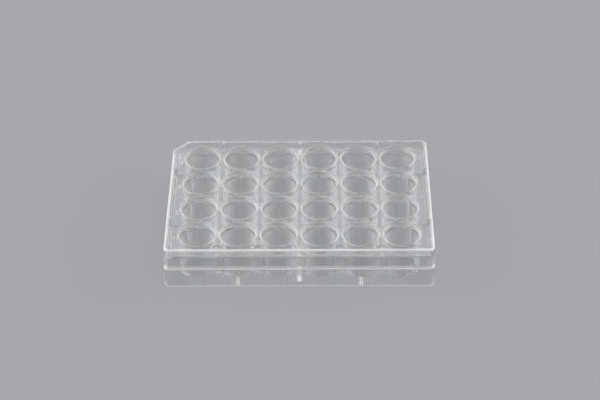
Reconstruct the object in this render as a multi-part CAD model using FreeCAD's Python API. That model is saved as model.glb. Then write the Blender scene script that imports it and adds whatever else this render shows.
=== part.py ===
"""24-well culture plate with its lid, moulded in clear polystyrene.

Frame: millimetres, +Z up.  The origin is the centre of the footprint at table level.
+X runs along the long side from column 1 to column 6, +Y from row D at the front to
row A at the back.  The cut corner beside well A1 is at -X, +Y.

Each of the two mouldings is one solid in a STEP file of its own:
  plate  skirt, ledge, upper wall, deck, 24 tapered wells and the ribs that tie them
  lid    sheet, drafted skirt, one condensation ring over each well and stand-off ribs
"""
import FreeCAD, Part
import math
import os

from FreeCAD import Vector

# ---------------------------------------------------------------- driving dimensions
# Well grid
COLUMNS = 6
ROWS = 4
WELL_PITCH = 19.3               # centre to centre, both ways
WELL_TOP_RADIUS = 8.15          # inside, at the rim
WELL_TAPER = 0.35               # how much narrower the inside is at the floor
WELL_DEPTH = 17.4
WELL_FLOOR = 1.3                # thickness of the floor
WELL_FLOOR_BLEND = 0.5          # inside radius where the wall meets the floor
WELL_WALL = 0.85                # at the rim; the outside is straight, so it is thicker below
WELL_FOOT_BEVEL = 0.6
RIM_BEVEL = 0.35

# Plate body
PLATE_LENGTH = 127.76           # standard footprint
PLATE_WIDTH = 85.48
PLATE_HEIGHT = 20.0             # table to the rims of the wells
CORNER_RADIUS = 3.18
SKIRT_WALL = 1.2
SKIRT_DRAFT = 0.2               # how much further in the ledge is than the foot, each side
LEDGE_HEIGHT = 10.9             # top of the wide lower skirt
DECK_HEIGHT = 17.4              # top of the deck between the wells
DECK_THICKNESS = 1.2
UPPER_WALL = 1.2
CUT_CORNER = 7.5                # leg of the cut corner beside well A1
LEDGE_BEVEL = 0.4
DECK_EDGE_RADIUS = 0.5
INNER_RADIUS = 0.4              # inside corners under the ledge, the deck and the lid sheet

# Fine grip ribs down both long sides of the lower skirt
GRIP_PITCH = 1.125
GRIP_GROOVES = 92
GRIP_DEPTH = 0.18
GRIP_CREST = 0.1                # width of a rib at its top
GRIP_ROOT = 0.34                # width of a rib at its root
GRIP_SETBACK = 0.03             # rib tops inside the plain face of the skirt
GRIP_MARGIN = 0.9               # top ends of the ribs below the ledge

# Web walls and ribs under the deck
NOTCH_RADIUS = 6.0              # hollow curve between two neighbouring outer wells
NOTCH_WALL = 1.1
TIE_WALL = 1.0                  # rib that joins two neighbouring wells
RIB_WALL = 1.8                  # rib from the wells to the skirt
RIB_STEP = 1.2                  # foot of that rib above the feet of the wells
PAD_RISE = 1.1                  # top of a pad above the feet of the wells
PAD_CLEARANCE = 0.2
PAD_COLUMN = 1                  # the pads stand at this column and its mirror image
SIDE_RIB_ROW = 1.0              # pitches from the middle to the ribs on the short sides

# Lid
LID_RISE = 2.0                  # top of the lid above the rims of the wells
LID_SHEET = 1.3
LID_WALL = 1.2
LID_SETBACK = 0.3               # lid foot inside the face of the lower skirt
LID_DRAFT = 0.35                # how much further in the lid top is, each side
LID_FOOT_GAP = 0.9              # lid foot above the ledge
LID_FIT = 0.4                   # running clearance round the upper wall
LID_EDGE_RADIUS = 1.1
RING_SETBACK = 0.4              # inside of a ring outside the bore of its well
RING_WALL = 0.6                 # at the foot of the ring
RING_DRAFT = 0.3                # how much wider the ring is at the lid sheet
RING_GAP = 0.3                  # ring above the rim of its well
STANDOFF_WIDTH = 1.0
STANDOFF_REACH = 2.0            # how far a stand-off reaches in from the lid wall

# ---------------------------------------------------------------- derived dimensions
HALF_LENGTH = PLATE_LENGTH / 2
HALF_WIDTH = PLATE_WIDTH / 2
FLOOR_TOP = PLATE_HEIGHT - WELL_DEPTH
FOOT_HEIGHT = FLOOR_TOP - WELL_FLOOR
WELL_FLOOR_RADIUS = WELL_TOP_RADIUS - WELL_TAPER
WELL_OUTER_RADIUS = WELL_TOP_RADIUS + WELL_WALL
DECK_UNDERSIDE = DECK_HEIGHT - DECK_THICKNESS
GRIP_TOP = LEDGE_HEIGHT - GRIP_MARGIN
RIB_FOOT = FOOT_HEIGHT + RIB_STEP
PAD_HEIGHT = FOOT_HEIGHT + PAD_RISE
LID_HEIGHT = PLATE_HEIGHT + LID_RISE
LID_UNDERSIDE = LID_HEIGHT - LID_SHEET
LID_FOOT = LEDGE_HEIGHT + LID_FOOT_GAP
RING_INNER_RADIUS = WELL_TOP_RADIUS + RING_SETBACK
RING_OUTER_RADIUS = RING_INNER_RADIUS + RING_WALL
OVERLAP = 0.5                   # how far joined features run into each other
ORIGIN_UP = Vector(0, 0, 1)


def column_x(column):
    """X of a column of wells; column 0 is at the -X end."""
    return (column - (COLUMNS - 1) / 2) * WELL_PITCH


def row_y(row):
    """Y of a row of wells; row 0 is row A at the back."""
    return ((ROWS - 1) / 2 - row) * WELL_PITCH


def well_centres():
    return [(column_x(c), row_y(r)) for r in range(ROWS) for c in range(COLUMNS)]


# ---------------------------------------------------------------- outlines
def corner_arc(centre_x, centre_y, radius, start, z):
    """Quarter arc that begins at the angle start, in degrees, and turns left."""
    points = []
    for angle in (start, start + 45, start + 90):
        a = math.radians(angle)
        points.append(Vector(centre_x + radius * math.cos(a), centre_y + radius * math.sin(a), z))
    return points


def outline(half_x, half_y, radius, z, cut=0.0):
    """Rounded rectangle at height z; with cut, the -X +Y corner is cut at 45 degrees."""
    x, y = half_x - radius, half_y - radius
    corners = [corner_arc(x, -y, radius, -90, z), corner_arc(x, y, radius, 0, z)]
    if cut:
        corners.append([Vector(cut - half_x, half_y, z), Vector(-half_x, half_y - cut, z)])
    else:
        corners.append(corner_arc(-x, y, radius, 90, z))
    corners.append(corner_arc(-x, -y, radius, 180, z))
    edges = []
    for index, corner in enumerate(corners):
        if len(corner) == 3:
            edges.append(Part.Arc(*corner).toShape())
        else:
            edges.append(Part.makeLine(*corner))
        following = corners[(index + 1) % len(corners)]
        edges.append(Part.makeLine(corner[-1], following[0]))
    return Part.Wire(edges)


def drafted(lower, upper):
    """Solid between two outlines of the same kind at different heights."""
    return Part.makeLoft([lower, upper], True, True)


def revolved(points):
    """Solid turned from a closed half section of (radius, height) points about Z."""
    section = [Vector(r, 0, z) for r, z in points]
    face = Part.Face(Part.makePolygon(section + section[:1]))
    return face.revolve(Vector(0, 0, 0), ORIGIN_UP, 360)


def top_edges(solid, z):
    """The edges round the flat top of a solid at height z."""
    return [e for e in solid.Edges if e.BoundBox.ZMin > z - 0.01]


def at_each_well(solid):
    return [solid.translated(Vector(x, y, 0)) for x, y in well_centres()]


def block(x0, x1, y0, y1, z0, z1):
    return Part.makeBox(x1 - x0, y1 - y0, z1 - z0, Vector(x0, y0, z0))


# ---------------------------------------------------------------- lid fit
def lid_half_sizes(z):
    """Outer half length and half width of the drafted lid at height z."""
    share = (z - LID_FOOT) / (LID_HEIGHT - LID_FOOT)
    setback = LID_SETBACK + LID_DRAFT * share
    return HALF_LENGTH - setback, HALF_WIDTH - setback


def offset_outline(z, inset):
    """Outline of the lid at height z, moved in by inset."""
    half_x, half_y = lid_half_sizes(z)
    radius = max(CORNER_RADIUS - LID_SETBACK - inset, 0.8)
    cut = CUT_CORNER - inset * (2 - math.sqrt(2))
    return outline(half_x - inset, half_y - inset, radius, z, cut)


# ---------------------------------------------------------------- plate
def skirt_outline(z, inset):
    """Outline of the drafted skirt at height z, moved in by inset."""
    setback = inset + SKIRT_DRAFT * z / LEDGE_HEIGHT
    return outline(HALF_LENGTH - setback, HALF_WIDTH - setback, CORNER_RADIUS - setback, z)


def plate_shell():
    """Lower skirt, ledge, upper wall and deck, without wells."""
    skirt = drafted(skirt_outline(0, 0), skirt_outline(LEDGE_HEIGHT, 0))
    skirt = skirt.makeChamfer(LEDGE_BEVEL, top_edges(skirt, LEDGE_HEIGHT))
    wall_inset = LID_WALL + LID_FIT
    upper = drafted(offset_outline(LEDGE_HEIGHT - SKIRT_WALL, wall_inset),
                    offset_outline(DECK_HEIGHT, wall_inset))
    upper = upper.makeFillet(DECK_EDGE_RADIUS, top_edges(upper, DECK_HEIGHT))
    skirt_hollow = drafted(skirt_outline(-OVERLAP, SKIRT_WALL),
                           skirt_outline(LEDGE_HEIGHT - SKIRT_WALL, SKIRT_WALL))
    skirt_hollow = skirt_hollow.makeFillet(
        INNER_RADIUS, top_edges(skirt_hollow, LEDGE_HEIGHT - SKIRT_WALL))
    hollow_inset = wall_inset + UPPER_WALL
    upper_hollow = drafted(offset_outline(LEDGE_HEIGHT - SKIRT_WALL - OVERLAP, hollow_inset),
                           offset_outline(DECK_UNDERSIDE, hollow_inset))
    upper_hollow = upper_hollow.makeFillet(INNER_RADIUS, top_edges(upper_hollow, DECK_UNDERSIDE))
    return skirt.fuse(upper).cut([skirt_hollow, upper_hollow] + grip_combs())


def grip_combs():
    """The material between the grip ribs, as one toothed bar for each long side."""
    start = -GRIP_PITCH * GRIP_GROOVES / 2
    outside = -HALF_WIDTH - OVERLAP
    crest = GRIP_SETBACK - HALF_WIDTH
    root = crest + GRIP_DEPTH
    points = [Vector(start, outside, 0), Vector(start, crest, 0)]
    for groove in range(GRIP_GROOVES):
        left = start + groove * GRIP_PITCH
        right = left + GRIP_PITCH
        points.append(Vector(left + GRIP_CREST / 2, crest, 0))
        points.append(Vector(left + GRIP_ROOT / 2, root, 0))
        points.append(Vector(right - GRIP_ROOT / 2, root, 0))
        points.append(Vector(right - GRIP_CREST / 2, crest, 0))
    points += [Vector(-start, crest, 0), Vector(-start, outside, 0)]
    profile = Part.Face(Part.makePolygon(points + points[:1]))
    profile.translate(Vector(0, 0, -OVERLAP))
    front = profile.extrude(Vector(0, 0, GRIP_TOP + OVERLAP))
    lean = math.degrees(math.atan2(SKIRT_DRAFT, LEDGE_HEIGHT))
    front.rotate(Vector(0, -HALF_WIDTH, 0), Vector(1, 0, 0), -lean)
    return [front, front.mirror(Vector(0, 0, 0), Vector(0, 1, 0))]


def well_cup():
    """Outside of one well, from its foot to its rim."""
    return revolved([(0, FOOT_HEIGHT),
                     (WELL_OUTER_RADIUS - WELL_FOOT_BEVEL, FOOT_HEIGHT),
                     (WELL_OUTER_RADIUS, FOOT_HEIGHT + WELL_FOOT_BEVEL),
                     (WELL_OUTER_RADIUS, PLATE_HEIGHT - RIM_BEVEL),
                     (WELL_OUTER_RADIUS - RIM_BEVEL, PLATE_HEIGHT),
                     (0, PLATE_HEIGHT)])


def well_bore():
    """Inside of one well, with a blend at the floor and a bevel at the rim."""
    return revolved([(0, FLOOR_TOP),
                     (WELL_FLOOR_RADIUS - WELL_FLOOR_BLEND, FLOOR_TOP),
                     (WELL_FLOOR_RADIUS, FLOOR_TOP + WELL_FLOOR_BLEND),
                     (WELL_TOP_RADIUS, PLATE_HEIGHT - RIM_BEVEL),
                     (WELL_TOP_RADIUS + RIM_BEVEL, PLATE_HEIGHT),
                     (WELL_TOP_RADIUS + RIM_BEVEL, PLATE_HEIGHT + OVERLAP),
                     (0, PLATE_HEIGHT + OVERLAP)])


def notch_wall():
    """Hollow-curved wall that closes the gap between two outer wells.

    It is drawn for two wells on the X axis at 0 and WELL_PITCH, on their +Y side.  Its
    outer face is an arc tangent to both wells, so the block has a scalloped outline.
    """
    half = WELL_PITCH / 2
    reach = WELL_OUTER_RADIUS + NOTCH_RADIUS
    centre = Vector(half, math.sqrt(reach ** 2 - half ** 2), 0)
    spread = math.degrees(math.atan2(half, centre.y))
    arcs = []
    for radius in (NOTCH_RADIUS, NOTCH_RADIUS + NOTCH_WALL):
        points = []
        for angle in (270 - spread, 270, 270 + spread):
            a = math.radians(angle)
            points.append(centre + Vector(radius * math.cos(a), radius * math.sin(a), 0))
        arcs.append(points)
    outer, inner = arcs
    edges = [Part.Arc(*outer).toShape(), Part.makeLine(outer[2], inner[2]),
             Part.Arc(*inner).toShape(), Part.makeLine(inner[0], outer[0])]
    low = FOOT_HEIGHT + WELL_FOOT_BEVEL
    face = Part.Face(Part.Wire(Part.sortEdges(edges)[0]))
    face.translate(Vector(0, 0, low))
    return face.extrude(Vector(0, 0, DECK_UNDERSIDE + OVERLAP - low))


def notch_depth():
    """Distance from the line through two outer wells to the bottom of the notch."""
    reach = WELL_OUTER_RADIUS + NOTCH_RADIUS
    return math.sqrt(reach ** 2 - (WELL_PITCH / 2) ** 2) - NOTCH_RADIUS


def notch_walls():
    """One hollow-curved wall at each gap round the outside of the block of wells."""
    walls = []
    along_x = notch_wall()
    for column in range(COLUMNS - 1):
        back = along_x.translated(Vector(column_x(column), row_y(0), 0))
        front = along_x.mirror(Vector(0, 0, 0), Vector(0, 1, 0))
        walls += [back, front.translated(Vector(column_x(column), row_y(ROWS - 1), 0))]
    along_y = notch_wall()
    along_y.rotate(Vector(0, 0, 0), ORIGIN_UP, 90)
    for row in range(ROWS - 1):
        left = along_y.translated(Vector(column_x(0), row_y(row + 1), 0))
        right = along_y.mirror(Vector(0, 0, 0), Vector(1, 0, 0))
        walls += [left, right.translated(Vector(column_x(COLUMNS - 1), row_y(row + 1), 0))]
    return walls


def tie_ribs():
    """Thin rib across the gap between each two neighbouring wells."""
    low, high = FOOT_HEIGHT + WELL_FOOT_BEVEL, DECK_UNDERSIDE + OVERLAP
    start = WELL_OUTER_RADIUS - OVERLAP
    end = WELL_PITCH - start
    half = TIE_WALL / 2
    ribs = []
    for x, y in well_centres():
        if x < column_x(COLUMNS - 1):
            ribs.append(block(x + start, x + end, y - half, y + half, low, high))
        if y > row_y(ROWS - 1):
            ribs.append(block(x - half, x + half, y - end, y - start, low, high))
    return ribs


def skirt_ribs():
    """Ribs from the notches to the skirt, and low pads from four of the well feet."""
    half = RIB_WALL / 2
    top = LEDGE_HEIGHT - SKIRT_WALL + OVERLAP
    inner_x = HALF_LENGTH - SKIRT_WALL + OVERLAP
    inner_y = HALF_WIDTH - SKIRT_WALL + OVERLAP
    notch_x = column_x(COLUMNS - 1) + notch_depth() - OVERLAP
    notch_y = row_y(0) + notch_depth() - OVERLAP
    foot_y = row_y(0) + WELL_OUTER_RADIUS - OVERLAP
    pad_x = column_x(PAD_COLUMN)
    side_y = SIDE_RIB_ROW * WELL_PITCH
    wall_x = lid_half_sizes(DECK_HEIGHT)[0] - LID_WALL - LID_FIT - UPPER_WALL + OVERLAP
    wall_y = lid_half_sizes(DECK_HEIGHT)[1] - LID_WALL - LID_FIT - UPPER_WALL + OVERLAP
    deck = DECK_UNDERSIDE + OVERLAP
    ribs = []
    for side in (-1, 1):
        near, far = sorted((side * notch_y, side * inner_y))
        ribs.append(block(-half, half, near, far, RIB_FOOT, top))
        near, far = sorted((side * notch_y, side * wall_y))
        ribs.append(block(-half, half, near, far, top - OVERLAP, deck))
        near, far = sorted((side * foot_y, side * inner_y))
        for x in (-pad_x, pad_x):
            ribs.append(block(x - half, x + half, near, far, PAD_CLEARANCE, PAD_HEIGHT))
        for y in (-side_y, side_y):
            near, far = sorted((side * notch_x, side * inner_x))
            ribs.append(block(near, far, y - half, y + half, RIB_FOOT, top))
            near, far = sorted((side * notch_x, side * wall_x))
            ribs.append(block(near, far, y - half, y + half, top - OVERLAP, deck))
    return ribs


def build_plate():
    features = at_each_well(well_cup()) + notch_walls() + tie_ribs() + skirt_ribs()
    plate = plate_shell().fuse(features)
    return plate.cut(at_each_well(well_bore())).removeSplitter()


# ---------------------------------------------------------------- lid
def standoffs():
    """Ribs in the lid that stand on the edge of the deck and leave an air gap."""
    half = STANDOFF_WIDTH / 2
    half_x, half_y = lid_half_sizes(LID_UNDERSIDE)
    outer_x, outer_y = half_x - LID_WALL + OVERLAP, half_y - LID_WALL + OVERLAP
    inner_x, inner_y = half_x - LID_WALL - STANDOFF_REACH, half_y - LID_WALL - STANDOFF_REACH
    top = LID_UNDERSIDE + OVERLAP
    ribs = []
    for side in (-1, 1):
        near, far = sorted((side * inner_y, side * outer_y))
        for x in (-2 * WELL_PITCH, 0, 2 * WELL_PITCH):
            ribs.append(block(x - half, x + half, near, far, DECK_HEIGHT, top))
        near, far = sorted((side * inner_x, side * outer_x))
        for y in (-WELL_PITCH, WELL_PITCH):
            ribs.append(block(near, far, y - half, y + half, DECK_HEIGHT, top))
    return ribs


def condensation_ring():
    ring_foot = PLATE_HEIGHT + RING_GAP
    return revolved([(RING_INNER_RADIUS, ring_foot), (RING_OUTER_RADIUS, ring_foot),
                     (RING_OUTER_RADIUS + RING_DRAFT, LID_UNDERSIDE),
                     (RING_OUTER_RADIUS + RING_DRAFT, LID_UNDERSIDE + OVERLAP),
                     (RING_INNER_RADIUS, LID_UNDERSIDE + OVERLAP)])


def build_lid():
    cover = drafted(offset_outline(LID_FOOT, 0), offset_outline(LID_HEIGHT, 0))
    cover = cover.makeFillet(LID_EDGE_RADIUS, top_edges(cover, LID_HEIGHT))
    hollow = drafted(offset_outline(LID_FOOT, LID_WALL), offset_outline(LID_UNDERSIDE, LID_WALL))
    hollow = hollow.makeFillet(INNER_RADIUS, top_edges(hollow, LID_UNDERSIDE))
    lid = cover.cut(hollow)
    lid = lid.fuse(at_each_well(condensation_ring()) + standoffs())
    return lid.removeSplitter()


# ---------------------------------------------------------------- output
os.makedirs("parts", exist_ok=True)
for name, shape in (("plate", build_plate()), ("lid", build_lid())):
    shape.exportStep(f"parts/{name}.step")
    box = shape.BoundBox
    print(f"{name}: {len(shape.Solids)} solid, valid {shape.isValid()}, "
          f"{box.XLength:.2f} x {box.YLength:.2f} mm, z {box.ZMin:.2f} to {box.ZMax:.2f}, "
          f"{shape.Volume / 1000:.2f} cm3, {len(shape.Faces)} faces")
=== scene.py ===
"""Clear 24-well culture plate with its lid on, on a pale table under soft studio light.

The script is read from top to bottom, one section for each piece.
"""

import math

import bpy
from mathutils import Matrix, Vector


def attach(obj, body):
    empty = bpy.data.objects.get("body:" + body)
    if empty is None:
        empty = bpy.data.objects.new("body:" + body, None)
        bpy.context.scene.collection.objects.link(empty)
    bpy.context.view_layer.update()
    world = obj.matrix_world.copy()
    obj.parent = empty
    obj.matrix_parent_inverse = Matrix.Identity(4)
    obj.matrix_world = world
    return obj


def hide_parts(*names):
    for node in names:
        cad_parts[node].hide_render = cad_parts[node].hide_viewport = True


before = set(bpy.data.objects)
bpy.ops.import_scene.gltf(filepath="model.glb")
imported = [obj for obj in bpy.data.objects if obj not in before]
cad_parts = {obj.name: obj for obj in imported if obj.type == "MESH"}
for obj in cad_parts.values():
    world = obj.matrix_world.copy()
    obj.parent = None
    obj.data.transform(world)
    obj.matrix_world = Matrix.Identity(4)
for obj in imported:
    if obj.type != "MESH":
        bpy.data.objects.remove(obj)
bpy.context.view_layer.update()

# ---------------------------------------------------------------- camera
# A long lens from the front, looking down at 39 degrees.  Its place is worked out from the
# bearing, height angle and distance of the view, with the small roll of a hand-set tripod.
view_turn = math.radians(0.727)
view_tilt = math.radians(90 - 39.385)
view_roll = math.radians(-0.657)
view_distance = 0.8363
aim = Vector((0.000164, 0.0, 0.01762))
facing = (Matrix.Rotation(view_turn, 4, "Z") @ Matrix.Rotation(view_tilt, 4, "X")
          @ Matrix.Rotation(view_roll, 4, "Z"))
bpy.ops.object.camera_add()
camera = bpy.context.object
camera.matrix_world = Matrix.Translation(aim + facing.col[2].to_3d() * view_distance) @ facing
camera.data.sensor_width = 36.0
camera.data.lens = 103.59
camera.data.clip_start = 0.05
bpy.context.scene.camera = camera
bpy.context.scene.view_settings.view_transform = "Standard"

# ---------------------------------------------------------------- light paths
# Light crosses up to thirty clear walls on its way through the wells, so a path may be long.
cycles = bpy.context.scene.cycles
cycles.max_bounces = 40
cycles.transmission_bounces = 40
cycles.transparent_max_bounces = 64
cycles.glossy_bounces = 16
cycles.diffuse_bounces = 2
cycles.min_light_bounces = 20
cycles.sample_clamp_indirect = 2.0
cycles.caustics_refractive = False
cycles.caustics_reflective = False

# ---------------------------------------------------------------- table
# A pale matt table top, much larger than the view.  Part of its tone is fixed for what the
# camera sees, straight or through the clear walls, and the rest takes light and soft shadow.
bpy.ops.mesh.primitive_plane_add(size=40.0, location=(0, 0, -0.0002))
table = bpy.context.object
table.name = "table_top"
paint = bpy.data.materials.new("pale_table")
paint.use_nodes = True
nodes, links = paint.node_tree.nodes, paint.node_tree.links
shader = nodes["Principled BSDF"]
shader.inputs["Roughness"].default_value = 0.6
shader.inputs["Specular IOR Level"].default_value = 0.2
mottle = nodes.new("ShaderNodeTexNoise")
mottle.inputs["Scale"].default_value = 9.0
mottle.inputs["Detail"].default_value = 4.0
tone = nodes.new("ShaderNodeValToRGB")
tone.color_ramp.elements[0].position = 0.3
tone.color_ramp.elements[0].color = (0.37, 0.38, 0.40, 1)
tone.color_ramp.elements[1].position = 0.7
tone.color_ramp.elements[1].color = (0.39, 0.40, 0.42, 1)
links.new(mottle.outputs["Fac"], tone.inputs["Fac"])
links.new(tone.outputs["Color"], shader.inputs["Base Color"])
steady = nodes.new("ShaderNodeEmission")
links.new(tone.outputs["Color"], steady.inputs["Color"])
rays = nodes.new("ShaderNodeLightPath")
straight = nodes.new("ShaderNodeMath")
straight.operation = "MAXIMUM"
links.new(rays.outputs["Is Camera Ray"], straight.inputs[0])
links.new(rays.outputs["Is Transmission Ray"], straight.inputs[1])
seen = nodes.new("ShaderNodeMath")
seen.operation = "MAXIMUM"
links.new(straight.outputs["Value"], seen.inputs[0])
links.new(rays.outputs["Is Glossy Ray"], seen.inputs[1])
share = nodes.new("ShaderNodeMath")
share.operation = "MULTIPLY"
share.inputs[1].default_value = 0.6
links.new(seen.outputs["Value"], share.inputs[0])
surface = nodes.new("ShaderNodeMixShader")
links.new(share.outputs["Value"], surface.inputs["Fac"])
links.new(shader.outputs["BSDF"], surface.inputs[1])
links.new(steady.outputs["Emission"], surface.inputs[2])
links.new(surface.outputs["Shader"], nodes["Material Output"].inputs["Surface"])
table.data.materials.append(paint)

# ---------------------------------------------------------------- studio light
# Low soft boxes at the sides, behind and, weakly, in front, all far off so that the table is lit
# evenly, and a broad one overhead.  The side and back ones aren't mirrored, as they would stand
# in the lid as hard patches.  The room gives little light of its own, but is seen pale.
room = bpy.data.worlds.new("room")
bpy.context.scene.world = room
room.use_nodes = True
nodes, links = room.node_tree.nodes, room.node_tree.links
nodes["Background"].inputs["Color"].default_value = (0.95, 0.97, 1.0, 1)
nodes["Background"].inputs["Strength"].default_value = 0.03
far_wall = nodes.new("ShaderNodeBackground")
far_wall.inputs["Color"].default_value = (0.38, 0.39, 0.41, 1)
rays = nodes.new("ShaderNodeLightPath")
straight = nodes.new("ShaderNodeMath")
straight.operation = "MAXIMUM"
links.new(rays.outputs["Is Camera Ray"], straight.inputs[0])
links.new(rays.outputs["Is Transmission Ray"], straight.inputs[1])
seen = nodes.new("ShaderNodeMath")
seen.operation = "MAXIMUM"
links.new(straight.outputs["Value"], seen.inputs[0])
links.new(rays.outputs["Is Glossy Ray"], seen.inputs[1])
behind = nodes.new("ShaderNodeMixShader")
links.new(seen.outputs["Value"], behind.inputs["Fac"])
links.new(nodes["Background"].outputs["Background"], behind.inputs[1])
links.new(far_wall.outputs["Background"], behind.inputs[2])
links.new(behind.outputs["Shader"], nodes["World Output"].inputs["Surface"])
for name, place, width, height, radiance, mirrored in (
        ("side_box_left", (-4.2, 0.3, 1.56), 5.4, 2.52, 6.5, False),
        ("side_box_right", (4.2, 0.3, 1.56), 5.4, 2.52, 6.5, False),
        ("back_box", (0.0, 5.1, 1.32), 7.2, 1.8, 1.5, False),
        ("front_box", (0.0, -5.7, 0.96), 9.6, 1.56, 0.2, True),
        ("top_box", (0.0, -0.1, 1.3), 2.0, 1.6, 0.5, True)):
    bpy.ops.object.light_add(type="AREA", location=place)
    lamp = bpy.context.object
    lamp.name = name
    lamp.data.shape = "RECTANGLE"
    lamp.data.size = width
    lamp.data.size_y = height
    lamp.data.energy = radiance * math.pi * width * height
    lamp.rotation_euler = (Vector((0, 0, 0.01)) - Vector(place)).to_track_quat("-Z", "Y").to_euler()
    lamp.visible_glossy = mirrored

# ---------------------------------------------------------------- plate
# The moulded plate: a merged copy of the imported node stands for it, with its normals made anew.
# Its polystyrene is water clear on the polished faces. Elsewhere white body is mixed in as
# painted light: a painted sheen on the drawn walls, the ribs and the deck, and on every edge and
# bevel mostly white body as a painted glow, where the light that it carries comes out.
plate_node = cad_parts["plate"]
plate = bpy.data.objects.new("clear_plate", plate_node.data.copy())
bpy.context.scene.collection.objects.link(plate)
bpy.ops.object.select_all(action="DESELECT")
plate.select_set(True)
bpy.context.view_layer.objects.active = plate
bpy.ops.object.mode_set(mode="EDIT")
bpy.ops.mesh.select_all(action="SELECT")
bpy.ops.mesh.remove_doubles(threshold=2e-6)
bpy.ops.object.mode_set(mode="OBJECT")
bpy.ops.mesh.customdata_custom_splitnormals_clear()
bpy.ops.object.shade_smooth_by_angle(angle=math.radians(28))
evening = plate.modifiers.new("even_normals", "WEIGHTED_NORMAL")
evening.weight = 100
evening.keep_sharp = True
bpy.ops.object.modifier_apply(modifier=evening.name)
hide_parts("plate")
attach(plate, "root")


LEVEL_LEAN, AIMED = 0.05, 0.985


def turned_normals(mesh, centres, reach):
    """Exact corner normals for the faces that were turned round one of the centres.

    A face belongs when it lies nearer than reach to a centre, in millimetres, and leans
    straight towards it or away from it.  LEVEL_LEAN and AIMED are the limits for that.  Every
    other face keeps the normals that it has.
    """
    normals = [corner.vector.copy() for corner in mesh.corner_normals]
    for face in mesh.polygons:
        flat = Vector((face.normal.x, face.normal.y))
        if flat.length < LEVEL_LEAN:
            continue
        middle = Vector((face.center.x, face.center.y)) * 1000
        centre = min(centres, key=lambda spot: (middle - spot).length)
        away = middle - centre
        if not 1.0 < away.length < reach:
            continue
        if abs(flat.normalized().dot(away.normalized())) < AIMED:
            continue
        side = math.copysign(1.0, flat.dot(away))
        for corner in face.loop_indices:
            spot = mesh.vertices[mesh.loops[corner].vertex_index].co * 1000
            spoke = (Vector((spot.x, spot.y)) - centre).normalized() * side * flat.length
            normals[corner] = Vector((spoke.x, spoke.y, face.normal.z))
    mesh.normals_split_custom_set(normals)


PITCH = 19.3
PAST_WELL = 9.05
well_middles = [Vector(((column - 2.5) * PITCH, (1.5 - row) * PITCH))
                for column in range(6) for row in range(4)]
turned_normals(plate.data, well_middles, PAST_WELL)


def from_nearest_well(x, y):
    """Distance in millimetres from a place on the plate to the nearest well's axis."""
    column = min(max(round(x / PITCH - 0.5) + 0.5, -2.5), 2.5) * PITCH
    row = min(max(round(y / PITCH - 0.5) + 0.5, -1.5), 1.5) * PITCH
    return math.hypot(x - column, y - row)


def polystyrene(name, warm, cool, clearness, rough, waves=0.0):
    """A clear moulded plastic.

    warm and cool are the two tints that its flow lines drift between, clearness is the share
    of clear plastic against white body, where the white body is painted light, a painted glow
    and sheen in place of the light that the clear plastic carries and mirrors, rough is the
    roughness of its most handled places, and waves the depth in metres of the flow waves, on
    polished faces and drawn walls.
    """
    made = bpy.data.materials.new(name)
    made.use_nodes = True
    nodes, links = made.node_tree.nodes, made.node_tree.links
    shader = nodes["Principled BSDF"]
    shader.inputs["IOR"].default_value = 1.59
    # What isn't clear is white body: painted glow and sheen in place of the plastic's own light.
    shader.inputs["Transmission Weight"].default_value = clearness
    place = nodes.new("ShaderNodeTexCoord")
    stretch = nodes.new("ShaderNodeMapping")
    stretch.inputs["Scale"].default_value = (1.0, 2.6, 1.4)
    links.new(place.outputs["Object"], stretch.inputs["Vector"])
    flow = nodes.new("ShaderNodeTexNoise")
    flow.inputs["Scale"].default_value = 70.0
    flow.inputs["Detail"].default_value = 3.0
    flow.inputs["Distortion"].default_value = 0.8
    links.new(stretch.outputs["Vector"], flow.inputs["Vector"])
    tint = nodes.new("ShaderNodeValToRGB")
    tint.color_ramp.elements[0].position = 0.35
    tint.color_ramp.elements[0].color = (*warm, 1)
    tint.color_ramp.elements[1].position = 0.65
    tint.color_ramp.elements[1].color = (*cool, 1)
    links.new(flow.outputs["Fac"], tint.inputs["Fac"])
    links.new(tint.outputs["Color"], shader.inputs["Base Color"])
    handled = nodes.new("ShaderNodeTexNoise")
    handled.inputs["Scale"].default_value = 180.0
    handled.inputs["Detail"].default_value = 6.0
    links.new(place.outputs["Object"], handled.inputs["Vector"])
    rubbed = nodes.new("ShaderNodeMapRange")
    rubbed.inputs["From Min"].default_value = 0.55
    rubbed.inputs["From Max"].default_value = 0.75
    rubbed.inputs["To Min"].default_value = 0.0
    rubbed.inputs["To Max"].default_value = rough
    links.new(handled.outputs["Fac"], rubbed.inputs["Value"])
    links.new(rubbed.outputs["Result"], shader.inputs["Roughness"])
    if waves:
        ripple = nodes.new("ShaderNodeBump")
        ripple.inputs["Strength"].default_value = 1.0
        ripple.inputs["Distance"].default_value = waves
        links.new(flow.outputs["Fac"], ripple.inputs["Height"])
        links.new(ripple.outputs["Normal"], shader.inputs["Normal"])
    lamp_side = nodes.new("ShaderNodeBsdfTransparent")
    lamp_side.inputs["Color"].default_value = (0.985, 0.985, 0.985, 1)
    rays = nodes.new("ShaderNodeLightPath")
    let_through = nodes.new("ShaderNodeMixShader")
    links.new(rays.outputs["Is Shadow Ray"], let_through.inputs["Fac"])
    links.new(shader.outputs["BSDF"], let_through.inputs[1])
    links.new(lamp_side.outputs["BSDF"], let_through.inputs[2])
    links.new(let_through.outputs["Shader"], nodes["Material Output"].inputs["Surface"])
    return made


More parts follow.
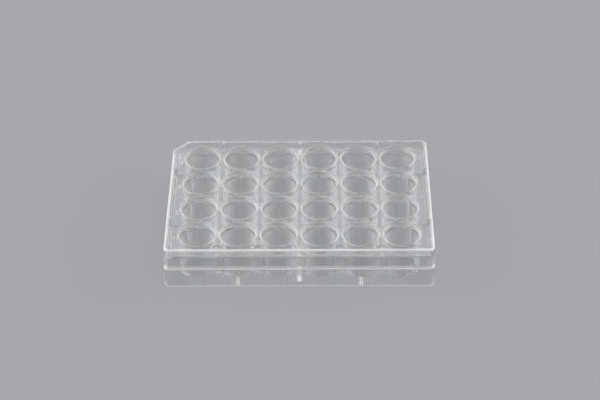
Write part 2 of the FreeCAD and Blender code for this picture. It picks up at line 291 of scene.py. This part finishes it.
CLEAR_FACE, DRAWN_WALL, RIB_FACE, BRIGHT_EDGE, DECK_FACE = range(5)
plate.data.materials.clear()
RIB_SHEEN_WARM, RIB_SHEEN_COOL = (0.99, 0.97, 0.975), (0.94, 0.97, 1.0)
EDGE_GLOW_WARM, EDGE_GLOW_COOL = (1.0, 0.985, 0.985), (0.96, 0.98, 1.0)
CLEAR_WARM, CLEAR_COOL = (0.94, 0.9353, 0.9306), (0.9118, 0.9259, 0.94)
POLISH_WAVES = 0.00001
# Painted light in these finishes: white body as painted glow on the edges and bevels.
for finish in (
        # White body on the walls, ribs and deck is painted sheen, in place of the lamps'
        # reflections.
        polystyrene("plate_clear", CLEAR_WARM, CLEAR_COOL, 0.985, 0.03, POLISH_WAVES),
        polystyrene("plate_wall_painted_sheen", (0.95, 0.93575, 0.931), (0.9025, 0.92625, 0.95), 0.72, 0.03,
                    POLISH_WAVES),
        polystyrene("plate_rib_painted_sheen", RIB_SHEEN_WARM, RIB_SHEEN_COOL, 0.5, 0.15),
        polystyrene("plate_edge_painted_glow", EDGE_GLOW_WARM, EDGE_GLOW_COOL, 0.22, 0.2),
        polystyrene("plate_deck_painted_sheen", (0.98, 0.96, 0.965), (0.93, 0.96, 0.98), 0.88, 0.1)):
    plate.data.materials.append(finish)

# A face takes its finish from its place, in millimetres, and its lean.  UPRIGHT, FLAT, SQUARE
# and the two FACING values are limits for parts of its normal.  The others are sizes of the
# form that they name, or places close beside it.
UPRIGHT, FLAT, SQUARE = 0.15, 0.97, 0.9995
PAST_BORE, WELL_OUTSIDE, CLEAR_OF_WELL = 8.5, 9.0, 9.1
RIM_LOW, DECK_LOW, DECK_HIGH, FLOOR_TOP, FOOT_HIGH = 19.6, 16.1, 17.5, 2.6, 0.1
UPPER_WALL_X, UPPER_WALL_Y = 60.2, 39.1
SKIRT_INSIDE, GRIP_END, GRIP_TOP = 42.0, 51.9, 10.0
SKIRT_HALF_WIDTH, SKIRT_LEAN = 42.74, 0.2 / 10.9
CREST_DEPTH, CREST_FACING, FLANK_FACING = 0.12, 0.99, 0.2
kinds = []
for face in plate.data.polygons:
    x, y, z = face.center * 1000
    along, across, up = abs(face.normal.x), abs(face.normal.y), face.normal.z
    from_well = from_nearest_well(x, y)
    kind = CLEAR_FACE
    if abs(up) < UPRIGHT:
        if abs(y) > SKIRT_INSIDE and abs(x) < GRIP_END and z < GRIP_TOP:
            crest_line = SKIRT_HALF_WIDTH - SKIRT_LEAN * z - CREST_DEPTH
            crest = abs(y) > crest_line and across > CREST_FACING
            kind = DECK_FACE if crest or along > FLANK_FACING else CLEAR_FACE
        elif abs(x) <= UPPER_WALL_X and abs(y) <= UPPER_WALL_Y and from_well > PAST_BORE:
            planar = from_well > CLEAR_OF_WELL and max(along, across) > SQUARE
            kind = RIB_FACE if planar else DRAWN_WALL
    elif z > RIM_LOW or abs(up) < FLAT or z < FOOT_HIGH:
        kind = BRIGHT_EDGE
    elif up < 0 and z < FLOOR_TOP and from_well > PAST_WELL:
        kind = BRIGHT_EDGE
    elif DECK_LOW < z < DECK_HIGH and from_well > WELL_OUTSIDE:
        kind = DECK_FACE
    kinds.append(kind)
plate.data.polygons.foreach_set("material_index", kinds)

# ---------------------------------------------------------------- row letters
# Plain letters A to D, raised about 0.15 mm from the deck in the same moulding, in the margin
# to the left of each row.  Their faces are matt and pale, so that they can be read.
letters = []
LETTER_X, LETTER_DROP, LETTER_Z = -0.0586, 0.0015, 0.01742
for row, letter in enumerate("ABCD"):
    row_y = (1.5 - row) * PITCH / 1000
    bpy.ops.object.text_add(location=(LETTER_X, row_y - LETTER_DROP, LETTER_Z))
    cut = bpy.context.object
    cut.data.body = letter
    cut.data.align_x = "CENTER"
    cut.data.size = 0.0042
    cut.data.extrude = 0.0001
    cut.data.bevel_depth = 0.00003
    cut.scale = (0.62, 1.0, 1.0)
    letters.append(cut)
bpy.ops.object.select_all(action="DESELECT")
for cut in letters:
    cut.select_set(True)
bpy.context.view_layer.objects.active = letters[0]
bpy.ops.object.convert(target="MESH")
bpy.ops.object.join()
row_letters = bpy.context.object
row_letters.name = "row_letters"
bpy.ops.object.transform_apply(location=True, rotation=True, scale=True)
bpy.ops.object.mode_set(mode="EDIT")
bpy.ops.mesh.select_all(action="SELECT")
bpy.ops.mesh.remove_doubles(threshold=1e-6)
bpy.ops.mesh.normals_make_consistent(inside=False)
bpy.ops.object.mode_set(mode="OBJECT")
row_letters.data.materials.clear()
row_letters.data.materials.append(
    polystyrene("letter_face", (1.0, 0.99, 0.99), (0.96, 0.98, 1.0), 0.1, 0.35))
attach(row_letters, "root")

# ---------------------------------------------------------------- lid
# The lid, in the same way: a flat clear sheet in a drafted frame, with a ring over each well.
# It is handled more than the plate below, so its polish is a little more rubbed.
lid_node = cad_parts["lid"]
lid = bpy.data.objects.new("clear_lid", lid_node.data.copy())
bpy.context.scene.collection.objects.link(lid)
bpy.ops.object.select_all(action="DESELECT")
lid.select_set(True)
bpy.context.view_layer.objects.active = lid
bpy.ops.object.mode_set(mode="EDIT")
bpy.ops.mesh.select_all(action="SELECT")
bpy.ops.mesh.remove_doubles(threshold=2e-6)
bpy.ops.object.mode_set(mode="OBJECT")
bpy.ops.mesh.customdata_custom_splitnormals_clear()
bpy.ops.object.shade_smooth_by_angle(angle=math.radians(28))
evening = lid.modifiers.new("even_normals", "WEIGHTED_NORMAL")
evening.weight = 100
evening.keep_sharp = True
bpy.ops.object.modifier_apply(modifier=evening.name)
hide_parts("lid")
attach(lid, "root")
PAST_RING = 9.6
turned_normals(lid.data, well_middles, PAST_RING)
lid.data.materials.clear()
# White body here is painted light too: painted glow on edges, bevels and ring sides, painted sheen
# on the standoff ribs.
for finish in (
        polystyrene("lid_clear", CLEAR_WARM, CLEAR_COOL, 0.985, 0.04, POLISH_WAVES),
        polystyrene("lid_wall", (0.94, 0.9306, 0.9259), (0.9024, 0.9212, 0.94), 0.98, 0.04,
                    POLISH_WAVES),
        polystyrene("lid_rib_painted_sheen", RIB_SHEEN_WARM, RIB_SHEEN_COOL, 0.5, 0.15),
        polystyrene("lid_edge_painted_glow", EDGE_GLOW_WARM, EDGE_GLOW_COOL, 0.4, 0.2)):
    lid.data.materials.append(finish)
SHEET_UNDERSIDE, STANDOFF_TOP, STANDOFF_FOOT = 20.72, 20.69, 17.0
INSIDE_X, INSIDE_Y = 62.0, 40.9
LID_FOOT_HIGH = 17.5
kinds = []
for face in lid.data.polygons:
    x, y, z = face.center * 1000
    up = abs(face.normal.z)
    from_well = from_nearest_well(x, y)
    kind = CLEAR_FACE
    if z < SHEET_UNDERSIDE and from_well < PAST_RING:
        kind = BRIGHT_EDGE if from_well > WELL_OUTSIDE and up < FLAT else CLEAR_FACE
    elif up < UPRIGHT:
        stands = STANDOFF_FOOT < z < STANDOFF_TOP and abs(x) < INSIDE_X and abs(y) < INSIDE_Y
        kind = RIB_FACE if stands else DRAWN_WALL
    elif up < FLAT or z < LID_FOOT_HIGH:
        kind = BRIGHT_EDGE
    kinds.append(kind)
lid.data.polygons.foreach_set("material_index", kinds)
